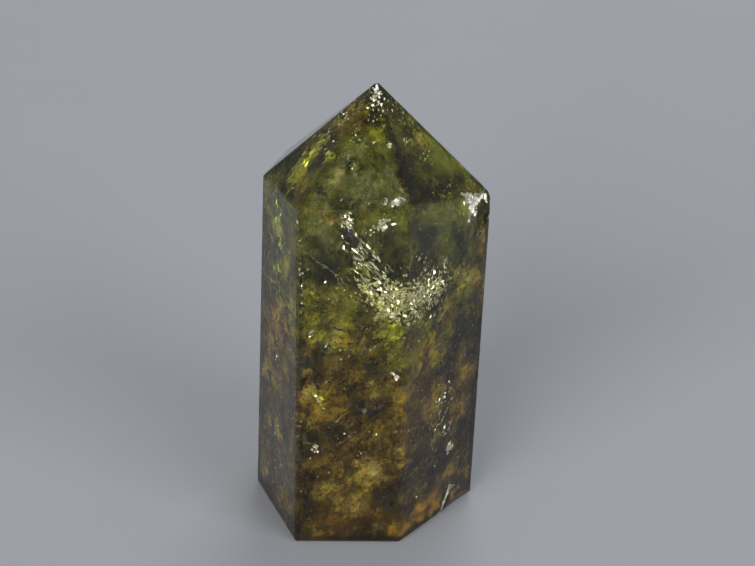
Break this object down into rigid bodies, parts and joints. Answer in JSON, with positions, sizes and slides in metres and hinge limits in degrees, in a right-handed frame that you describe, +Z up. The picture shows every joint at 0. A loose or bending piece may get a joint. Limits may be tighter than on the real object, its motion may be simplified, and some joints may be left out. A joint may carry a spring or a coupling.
{
  "type": "citrine crystal point",
  "caption": "Six-sided crystal point, cut and polished from cloudy olive-brown citrine, that stands upright on its sawn base.",
  "frame": {"origin": "middle of the sawn base", "axes": "+Z up along the crystal, from the base to the tip"},
  "size_m": [0.034, 0.0304, 0.0697],
  "materials": {
    "citrine": "polished, see-through, grey-green at the point and olive-brown below",
    "fracture_film": "bright, thin and crackled, sealed inside the stone",
    "cloud_veil": "soft brown and olive cloud, sealed inside the stone",
    "iron_stain": "dull rust-brown specks, sealed inside the stone"
  },
  "bodies": {
    "root": {"crystal_point": "citrine"}
  },
  "joints": []
}
